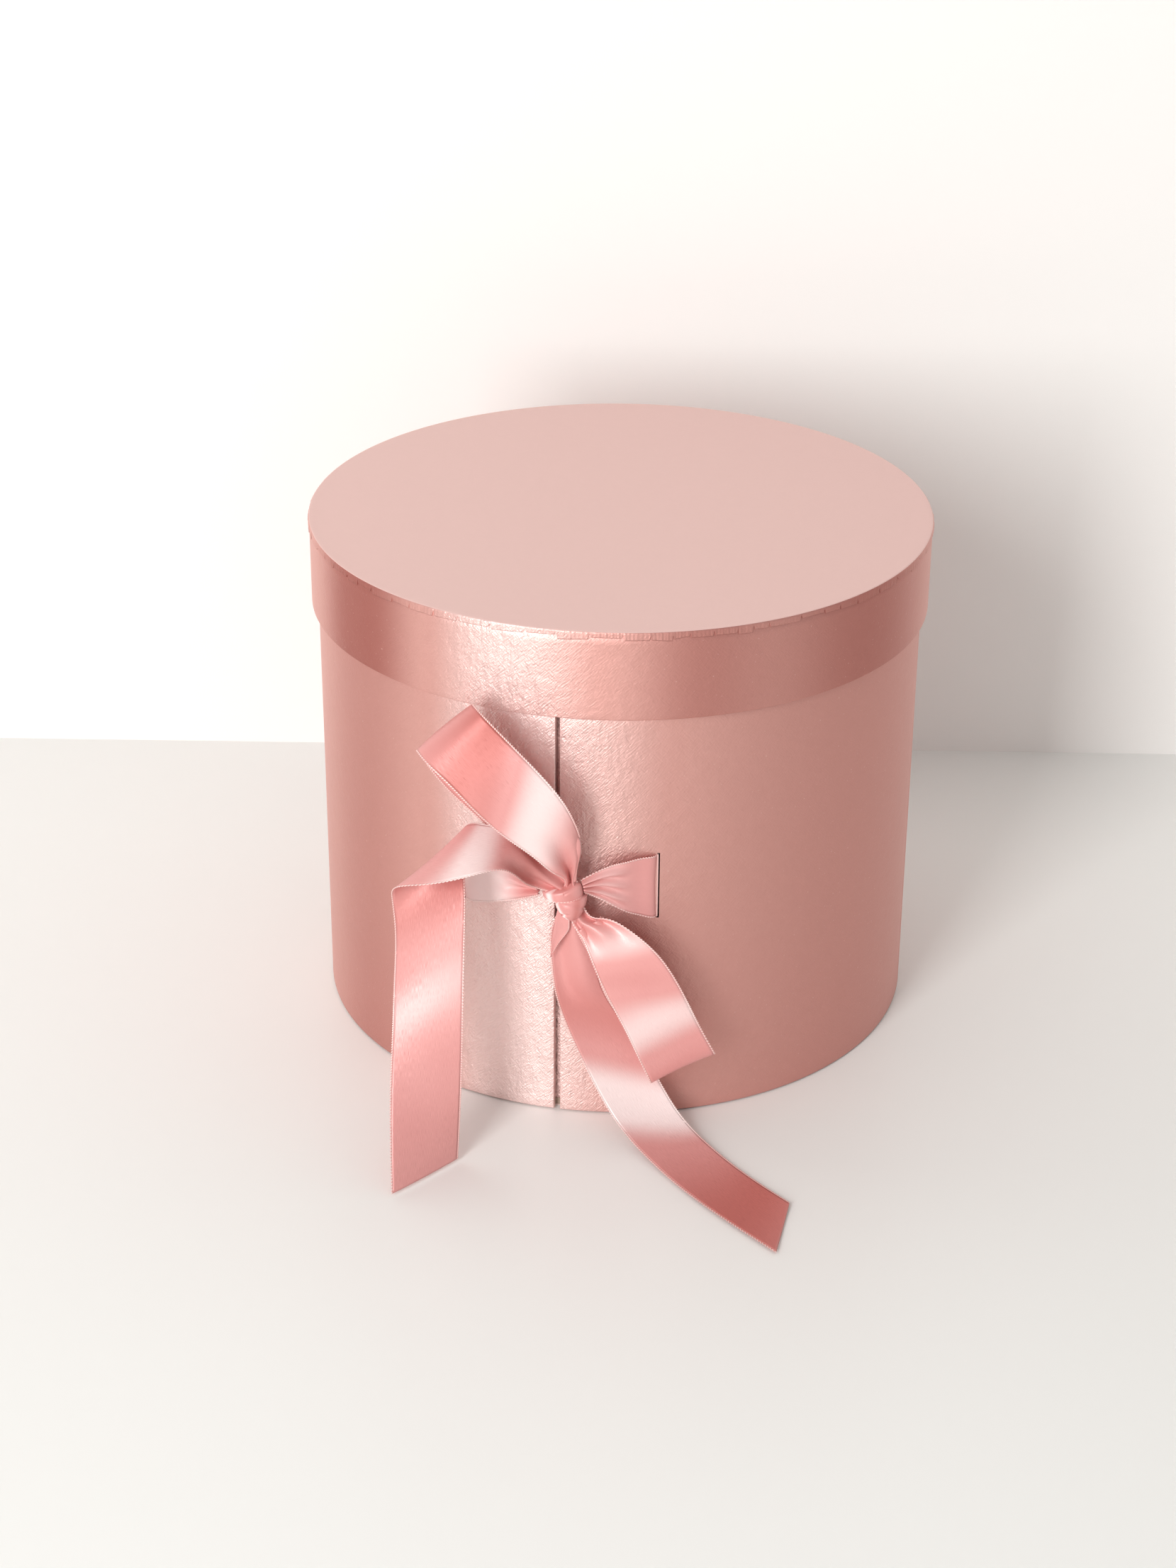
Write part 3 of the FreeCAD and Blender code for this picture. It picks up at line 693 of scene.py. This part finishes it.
LEFT_LEAD = [
    ((-18.1, -1.2, 11.1), (-18.1, -1.2, -11.2)),
    ((-17.6, 0.5, 11.2), (-17.6, 0.5, -11.3)),
    ((-14.2, 3.0, 11.5), (-13.9, 3.0, -10.0)),
    ((-10.2, 4.8, 11.0), (-9.5, 5.0, -6.8)),
    ((-6.2, 6.0, 7.5), (-5.8, 6.0, -4.0)),
    ((-2.2, 7.4, 3.6), (-2.2, 7.4, -0.4)),
]
UPPER_LOOP = [
    ((2.2, 8.0, 2.4), (4.4, 8.0, 3.4)),
    ((2.4, 8.4, 5.6), (3.9, 8.4, 6.8)),
    ((0.9, 13.0, 11.0), (4.8, 11.0, 18.3)),
    ((-1.5, 18.0, 18.0), (4.4, 15.0, 29.0)),
    ((-4.7, 22.0, 25.0), (2.8, 17.0, 37.5)),
    ((-10.6, 25.0, 37.0), (-3.6, 18.0, 53.5)),
    ((-14.4, 25.0, 44.0), (-7.6, 17.0, 60.5)),
    ((-17.8, 24.0, 48.5), (-10.4, 15.8, 64.8)),
    ((-20.0, 20.5, 49.0), (-12.3, 12.4, 65.2)),
    ((-20.8, 16.5, 45.5), (-13.2, 8.6, 62.5)),
    ((-19.1, 13.5, 38.0), (-10.9, 6.5, 54.0)),
    ((-16.1, 11.5, 31.0), (-6.8, 5.5, 44.0)),
    ((-12.0, 9.5, 23.5), (-2.6, 5.0, 33.5)),
    ((-6.5, 8.0, 14.0), (1.8, 5.5, 19.5)),
    ((1.2, 7.4, 6.2), (3.0, 7.4, 6.6)),
]
LEFT_TAIL = [
    ((3.0, 8.6, 3.6), (1.0, 9.4, 1.4)),
    ((1.5, 9.0, 7.6), (-1.8, 10.0, 3.0)),
    ((-2.5, 9.5, 17.0), (-3.6, 20.0, 10.8)),
    ((-6.0, 10.0, 22.4), (-5.3, 27.0, 17.2)),
    ((-10.2, 11.0, 23.4), (-9.0, 33.0, 16.6)),
    ((-12.4, 12.5, 24.0), (-15.5, 35.5, 11.2)),
    ((-13.6, 14.5, 22.2), (-19.8, 34.5, 7.0)),
    ((-13.2, 17.0, 16.5), (-21.4, 31.5, 1.5)),
    ((-11.5, 23.5, 8.0), (-21.2, 31.0, -8.0)),
    ((-10.3, 30.5, -12.0), (-19.8, 36.5, -25.0)),
    ((-9.8, 35.0, -33.5), (-18.4, 43.0, -37.5)),
    ((-9.8, 37.0, -56.5), (-17.0, 51.0, -56.0)),
    ((-10.2, 38.5, -85.0), (-14.1, 65.5, -85.0)),
]
RIGHT_LEAD = [
    ((18.1, -1.2, 11.1), (18.1, -1.2, -11.2)),
    ((17.6, 0.5, 11.2), (17.6, 0.5, -11.3)),
    ((15.1, 2.0, 11.2), (15.1, 2.0, -9.8)),
    ((11.9, 4.0, 10.5), (12.0, 4.0, -6.8)),
    ((8.9, 5.5, 9.0), (8.3, 5.5, -2.0)),
    ((4.9, 7.6, 5.2), (5.3, 7.6, 1.6)),
]
LOWER_LOOP = [
    ((3.0, 7.6, -5.4), (5.0, 7.4, -3.0)),
    ((3.6, 7.8, -10.6), (6.8, 7.6, -7.4)),
    ((4.6, 8.8, -13.0), (9.0, 9.0, -7.0)),
    ((6.0, 10.5, -17.5), (13.2, 12.0, -10.0)),
    ((8.6, 13.0, -29.7), (18.1, 15.0, -19.3)),
    ((12.0, 15.0, -43.4), (21.7, 16.0, -33.0)),
    ((15.2, 15.0, -59.0), (25.2, 15.0, -49.0)),
    ((16.6, 13.2, -66.0), (27.1, 13.0, -57.2)),
    ((16.5, 10.6, -66.0), (27.0, 10.2, -57.2)),
    ((14.7, 9.0, -56.8), (24.3, 9.0, -47.4)),
    ((12.0, 8.6, -43.0), (21.0, 9.0, -33.0)),
    ((8.6, 8.0, -29.5), (17.5, 9.0, -20.0)),
    ((4.2, 6.8, -12.5), (8.0, 6.8, -7.6)),
]
RIGHT_TAIL = [
    ((2.2, 7.4, -2.5), (4.6, 7.4, -3.5)),
    ((1.1, 5.5, -7.0), (4.7, 5.8, -9.1)),
    ((-0.4, 4.6, -14.5), (5.4, 5.2, -15.6)),
    ((-0.6, 4.5, -25.0), (6.9, 5.0, -23.4)),
    ((0.0, 5.0, -35.0), (8.5, 5.0, -35.2)),
    ((1.4, 6.0, -44.2), (12.0, 5.0, -47.0)),
    ((6.1, 9.0, -64.0), (17.3, 5.2, -65.0)),
    ((10.8, 14.5, -79.0), (21.4, 9.5, -79.5)),
    ((16.3, 32.5, -84.8), (25.2, 25.5, -84.8)),
    ((20.8, 54.4, -85.2), (27.9, 42.8, -85.2)),
    ((26.3, 85.2, -85.2), (30.7, 61.2, -85.2)),
]

# Where the upper loop's right edge curls forward, and where the right tail's
# underside shows before the tail turns its face.

LOOP_CURL = [
    ((3.5, 9.4, 6.2), (4.1, 9.4, 6.4)),
    ((3.4, 10.5, 12.0), (4.4, 10.6, 11.6)),
    ((3.7, 12.2, 17.1), (4.9, 12.0, 16.7)),
    ((4.0, 13.8, 21.0), (5.1, 13.3, 20.8)),
    ((3.6, 14.2, 22.8), (4.6, 13.6, 24.2)),
    ((3.2, 13.9, 21.9), (2.8, 13.8, 23.9)),
]
TAIL_TURN = [
    ((1.4, 7.8, -1.8), (3.2, 7.8, -4.6)),
    ((0.6, 7.5, -8.0), (2.9, 7.4, -10.0)),
    ((0.1, 7.1, -14.4), (2.7, 7.0, -13.1)),
    ((-0.25, 6.6, -19.7), (1.3, 6.8, -17.4)),
    ((-0.4, 6.0, -24.5), (-0.1, 6.2, -22.3)),
]


def beside(places):
    """Places by (degrees, standoff, rise) as points."""
    angle, standoff, rise = np.moveaxis(np.asarray(places, float), -1, 0)
    radius = WALL_R + standoff
    turn = np.radians(angle)
    return np.stack([radius * np.sin(turn), -radius * np.cos(turn), SLOT_LEVEL + rise], -1)


def smooth(knots, points, samples):
    """A natural cubic spline: its second derivatives solve the usual system."""
    gap = np.diff(knots)
    count = len(knots)
    system = np.eye(count)
    right = np.zeros((count,) + points.shape[1:])
    inside = np.arange(1, count - 1)
    system[inside, inside - 1] = gap[:-1]
    system[inside, inside] = 2 * (gap[:-1] + gap[1:])
    system[inside, inside + 1] = gap[1:]
    slope = np.diff(points, axis=0) / gap[:, None]
    right[1:-1] = 6 * np.diff(slope, axis=0)
    curve = np.linalg.solve(system, right)
    at = np.clip(np.searchsorted(knots, samples, side="right") - 1, 0, count - 2)
    h = gap[at][:, None]
    before = (knots[at + 1] - samples)[:, None]
    after = (samples - knots[at])[:, None]
    return ((curve[at] * before**3 + curve[at + 1] * after**3) / (6 * h)
            + (points[at] / h - curve[at] * h / 6) * before
            + (points[at + 1] / h - curve[at + 1] * h / 6) * after)


class Ribbon:
    """A ribbon between two smooth edges, with a bow across it and pleats.

    Point = edge one + t (edge two - edge one) + normal * rise, where rise is
    cup * (1 - (2t - 1)^2) plus pleats, a sine of t as deep as the narrowing
    asks, so the sheet keeps about its width where it is drawn together.
    """

    def __init__(self, stations, cup, pleats=3.0, deep=0.0):
        self.edges = beside(stations)
        steps = np.linalg.norm(np.diff(self.edges.mean(1), axis=0), axis=1)
        self.knots = np.append(0, np.cumsum(steps))
        self.length = self.knots[-1]
        self.cup, self.pleats, self.deep = cup, pleats, deep

    def at(self, samples, across):
        """Points for each sample along and place across, and which way is across."""
        one = smooth(self.knots, self.edges[:, 0], samples)
        two = smooth(self.knots, self.edges[:, 1], samples)
        wide = two - one
        along = np.gradient((one + two) / 2, samples, axis=0)
        normal = np.cross(wide, along)
        normal /= np.linalg.norm(normal, axis=1)[:, None]
        width = np.linalg.norm(wide, axis=1)
        spare = np.sqrt(np.clip(RIBBON**2 - width**2, 0, None)) / (4 * self.pleats)
        gather = self.deep * spare * np.clip((0.86 - width / RIBBON) / 0.2, 0, 1)
        t = np.clip(across, 0, 1)[None, :]
        bow = self.cup * (1 - (2 * t - 1) ** 2)
        wave = gather[:, None] * np.sin(TAU * self.pleats * t + 0.4)
        rise = (bow + wave)[..., None] * normal[:, None, :]
        flat = one[:, None] + across[None, :, None] * wide[:, None]
        return flat + rise, wide / width[:, None]

    def surface(self):
        """The sheet and its two picot edges as one surface.

        A picot stands out by 0.12 + 0.5 |sin(pi s / PICOT)|^0.7 at s along.
        """
        edge = 0.5 / RIBBON
        samples = np.linspace(0, self.length, int(self.length / 0.8))
        across = np.linspace(edge, 1 - edge, 33)
        points, _ = self.at(samples, across)
        places = np.stack(np.broadcast_arrays(samples[:, None] * MM, across), -1)
        parts = [grid(points, places)]
        fine = np.linspace(0, self.length, int(self.length / PICOT * 7))
        picot = 0.12 + 0.5 * np.abs(np.sin(math.pi * fine / PICOT)) ** 0.7
        for side, start in ((-1, edge), (1, 1 - edge)):
            base, out = self.at(fine, np.array([start]))
            stands = out[:, None, :] * picot[:, None, None] * side
            rows = base + stands * np.array([0.0, 0.45, 0.8, 1.0])[None, :, None]
            row_places = start + side * np.array([0.0, 0.01, 0.02, 0.03])
            where = np.stack(np.broadcast_arrays(fine[:, None] * MM, row_places), -1)
            strip = grid(rows, where)
            parts.append(strip if side > 0 else turned_over(strip))
        return joined(*parts)


def turned_edge(stations, across):
    """A narrow part of the ribbon; across gives the borders its strip lies between."""
    strip = Ribbon(stations, cup=0.3)
    samples = np.linspace(0, strip.length, 60)
    points, _ = strip.at(samples, np.linspace(0, 1, 9))
    places = np.stack(np.broadcast_arrays(samples[:, None] * MM, np.linspace(*across, 9)), -1)
    return grid(points, places)


TURNED = {"upper_loop": turned_edge(LOOP_CURL, (0.75, 0.99)),
          "right_tail": turned_edge(TAIL_TURN, (0.7, 1.0))}


def painted_light_along(length, *bands):
    """Paler (above 0) and deeper bands along a ribbon, each a bell of the way along.

    A band is (place, spread, amount, slope): its middle lies at place + slope *
    (across - 0.5), as parts of the ribbon's length. Pale bands are painted
    highlight, deep ones painted shade.
    """
    def tone(places):
        way = places[:, 0] / (length * MM)
        return sum(amount * np.exp(-((way - place - slope * (places[:, 1] - 0.5)) / spread) ** 2)
                   for place, spread, amount, slope in bands)
    return tone


SATIN_THICK = 0.25

# Each ribbon: its stations, its body, how it bows across and gathers, and its
# bands of painted highlight (paler) and painted shade (deeper).
RIBBONS = {
    "left_lead": (LEFT_LEAD, "left_door", dict(cup=0.5, pleats=2.5, deep=0.5),
                  [(0.4, 0.35, 1.0, 0.0), (1.0, 0.2, -0.2, 0.0)]),
    "upper_loop": (UPPER_LOOP, "left_door", dict(cup=0.5, pleats=1.5, deep=0.35),
                   [(0.05, 0.05, -0.3, 0.0), (0.235, 0.095, 0.8, 0.1), (0.36, 0.06, -0.5, 0.1),
                    (0.44, 0.06, -0.6, 0.05), (0.75, 0.3, -0.4, 0.0)]),
    "left_tail": (LEFT_TAIL, "left_door", dict(cup=0.4, pleats=1.5, deep=0.35),
                  [(0.10, 0.07, -0.5, 0.0), (0.225, 0.05, 0.95, 0.0), (0.42, 0.09, -0.5, 0.0),
                   (0.62, 0.07, 0.3, 0.04), (0.92, 0.12, -0.15, 0.0)]),
    "right_lead": (RIGHT_LEAD, "right_door", dict(cup=0.4, pleats=3.5, deep=0.7),
                   [(0.7, 0.3, 0.3, 0.0)]),
    "lower_loop": (LOWER_LOOP, "right_door", dict(cup=0.5, pleats=1.5, deep=0.4),
                   [(0.14, 0.05, 0.5, 0.0), (0.24, 0.06, -0.35, 0.1), (0.37, 0.09, 0.7, 0.0),
                    (0.47, 0.05, -0.3, 0.0), (0.8, 0.2, -0.4, 0.0)]),
    "right_tail": (RIGHT_TAIL, "right_door", dict(cup=0.5, pleats=1.0, deep=0.3),
                   [(0.05, 0.07, 0.1, 0.0), (0.28, 0.11, -0.5, 0.0), (0.52, 0.09, 1.2, 0.05),
                    (0.9, 0.2, -0.75, 0.0)]),
}

for name, (stations, body, look, bands) in RIBBONS.items():
    ribbon = Ribbon(stations, **look)
    cloth = ribbon.surface()
    if name in TURNED:
        cloth = joined(cloth, TURNED[name])
    piece = put(name + "_satin", cloth, SATIN, body, "satin_ribbon", name,
                tone=painted_light_along(ribbon.length, *bands))
    thick = piece.modifiers.new("thickness", "SOLIDIFY")
    thick.thickness = SATIN_THICK * MM
    thick.offset = 0.0

# --------------------------------------------------------------------- knot

KNOT_ROLL = math.radians(13)
KNOT_ROUND = 31.4    # ribbon that goes once round the knot
KNOT_SPAN = 5.0      # and for each radian of it


def knot_band():
    """The upper band: an oval girdle, narrow at its left end and closed inside.

    Point = (6.5 g cos + 0.5, -4.1 g sin, lift + h v) tilted by KNOT_ROLL. The
    half height h grows from left to right; the girth g is (1 - v^6)^(1/4) above
    and flat to the edge below, less a crease.
    """
    low, high = extent("knot_band")
    angle = np.arange(192)[:, None] * TAU / 192
    v = np.array([-1, -1, -1, -0.985, *np.linspace(-0.95, 0.95, 25), 0.98, 1])[None, :]
    above = np.clip(1 - np.clip(v, 0, 1) ** 6, 0, 1) ** 0.25
    girth = above * (1 - 0.04 * np.clip(-v, 0, 1) ** 2)
    girth[0, :3] = (0, 0.5, 0.93)
    crease = 0.05 * np.exp(-((v - 0.35 - 0.5 * np.cos(angle)) / 0.2) ** 2)
    girth = girth * (1 - crease * (np.cos(angle) > 0.2))
    half = 1.95 + 0.65 * np.cos(angle)
    x = 6.5 * girth * np.cos(angle) + 0.5
    y = -4.1 * girth * np.sin(angle)
    z = half * v - 0.2 - 0.2 * np.cos(angle) + 0.3 * np.cos(angle * 2)
    points = np.stack([x * math.cos(KNOT_ROLL) - z * math.sin(KNOT_ROLL), y + 0 * z,
                       x * math.sin(KNOT_ROLL) + z * math.cos(KNOT_ROLL)], -1)
    across = 0.5 + v * np.where(v < 0, 0.60, 0.46)
    places = np.stack(np.broadcast_arrays(angle * KNOT_SPAN * MM, across), -1)
    return grid(points + (low + high) / 2, places, closed_u=True)


def knot_wrap():
    """The lower wrap: a pouch that hangs from the band's foot, with a tuck.

    Half width and depth fall as (1 - v^1.9)^0.55 from the top, v = 0, to the
    bottom, v = 1; the top edge is tilted and the left side has one short tuck.
    """
    low, high = extent("knot_wrap")
    middle = np.array([(low[0] + high[0]) / 2 + 0.2, (low[1] + high[1]) / 2, high[2] - 1.3])
    angle = np.arange(192)[:, None] * TAU / 192
    v = np.append(0, np.linspace(0, 1, 60))[None, :]
    girth = np.clip(1 - v ** 1.9, 0, None) ** 0.55
    girth[0, 0] = 0
    left = 1 / (1 + np.exp((np.cos(angle) + 0.15) * 9))
    lean = v - 0.60 + 0.08 * np.cos(angle)
    tuck = 0.20 * np.exp(-(lean / 0.045) ** 2) - 0.06 * np.exp(-((lean - 0.1) / 0.06) ** 2)
    fold = 0.08 * np.exp(-((v - 0.26 - 0.24 * np.cos(angle + 0.5)) / 0.08) ** 2)
    girth = girth * (1 - left * tuck - fold)
    x = 5.2 * girth * np.cos(angle)
    y = -3.9 * girth * np.sin(angle)
    z = -8.4 * v + x * math.tan(KNOT_ROLL) * (1 - v)
    points = np.stack([x + 0 * z, y + 0 * z, z], -1) + middle
    places = np.stack(np.broadcast_arrays(angle * KNOT_SPAN * MM, 0.03 + 0.47 * v), -1)
    return turned_over(grid(points, places, closed_u=True))


# Painted highlight and painted shade on the knot's band and wrap.
BAND_PAINTED_LIGHT = painted_light_along(KNOT_ROUND, (0.35, 0.035, 1.0, 0.0), (0.18, 0.08, -0.4, 0.0))
WRAP_PAINTED_LIGHT = painted_light_along(KNOT_ROUND, (0.30, 0.035, 1.0, -0.25), (0.16, 0.06, -0.5, 0.0))
put("knot_band_satin", knot_band(), SATIN, "right_door", "satin_ribbon", "knot_band",
    tone=BAND_PAINTED_LIGHT)
put("knot_wrap_satin", knot_wrap(), SATIN, "right_door", "satin_ribbon", "knot_wrap",
    tone=WRAP_PAINTED_LIGHT)

# ------------------------------------------------- finishes on the CAD nodes

NODE_FINISH = {
    "base_paper": LINING,
    "base_board": BOARD,
    "drum_board": BOARD,
    "shelf_board": BOARD,
    "shell_board": BOARD,
    "lid_top_board": BOARD,
    "lid_rim_board": BOARD,
    "left_door_board": BOARD,
    "right_door_board": BOARD,
    "left_ribbon_anchor": SATIN,
    "right_ribbon_anchor": SATIN,
}
for node, finish in NODE_FINISH.items():
    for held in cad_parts[node].material_slots:
        held.material = finish

# ---------------------------------------------------------------- surroundings


def plane(name, corner, one, two, colour, rough):
    """A flat sheet of the room, clear from its back so that it hides nothing."""
    mesh = bpy.data.meshes.new(name)
    corner, one, two = (np.array(part, float) for part in (corner, one, two))
    points = [corner, corner + one, corner + one + two, corner + two]
    mesh.from_pydata([tuple(point) for point in points], [], [(0, 1, 2, 3)])
    sheet = bpy.data.objects.new(name, mesh)
    bpy.context.scene.collection.objects.link(sheet)
    paint = Finish(name)
    cloud = paint.noise(paint.place(), 3.0, 2.0)
    tone = paint.blend(cloud, hue(*colour), hue(*(part - 3 for part in colour)))
    solid = paint.add("BsdfPrincipled", {"Base Color": tone, "Roughness": rough,
                                         "Specular IOR Level": 0.3})
    clear = paint.add("BsdfTransparent")
    behind = paint.add("NewGeometry", out="Backfacing")
    both = paint.add("MixShader", {0: behind, 1: solid, 2: clear})
    paint.add("OutputMaterial", {"Surface": both})
    mesh.materials.append(paint.material)


# The wall stands behind the box, turned a little; its foot is 175.9 mm back.
LINE = np.array([0.98365, 0.18007, 0.0])
BACK = np.array([-0.18007, 0.98365, 0.0])
FOOT = BACK * 0.1759
ROOM = 8    # metres
plane("table_top", FOOT - (LINE + BACK) * ROOM / 2, LINE * ROOM, BACK * ROOM,
      (244, 244, 242), 0.35)
plane("back_wall", FOOT - LINE * ROOM / 2, LINE * ROOM, np.array([0, 0, 3]),
      (250, 248, 246), 0.9)

world = bpy.data.worlds.new("studio")
world.use_nodes = True
bpy.context.scene.world = world
background = world.node_tree.nodes["Background"]
background.inputs["Color"].default_value = (1.0, 0.99, 0.965, 1.0)
background.inputs["Strength"].default_value = 0.52

# One tall soft window, in front on the left, that looks at the box.
lamp = bpy.data.lights.new("window", "AREA")
lamp.shape = "RECTANGLE"
lamp.size = 0.55
lamp.size_y = 1.25
lamp.energy = 26
lamp.color = (1.0, 1.0, 0.99)
window = bpy.data.objects.new("window", lamp)
window.location = (-0.5, -1.77, 0.72)
aim = Vector((0, 0, 0.08)) - window.location
window.rotation_mode = "QUATERNION"
window.rotation_quaternion = aim.to_track_quat("-Z", "Y")
bpy.context.scene.collection.objects.link(window)

# --------------------------------------------------------------------- camera

camera_data = bpy.data.cameras.new("camera")
camera_data.sensor_fit = "VERTICAL"
camera_data.sensor_height = 36
camera_data.sensor_width = 36
camera_data.lens = 66.70
camera = bpy.data.objects.new("camera", camera_data)
right = Vector((0.98001725, 0.198819, 0.0060983))
up = Vector((-0.09492219, 0.44050786, 0.89271642))
ahead = Vector((-0.17480263, 0.87545636, -0.45057764))
turn = Matrix((right, up, -ahead)).transposed()
camera.rotation_mode = "QUATERNION"
camera.rotation_quaternion = turn.to_quaternion()
camera.location = (0.169193, -0.900598, 0.533567)
bpy.context.scene.collection.objects.link(camera)
bpy.context.scene.camera = camera
bpy.context.scene.view_settings.view_transform = "Standard"
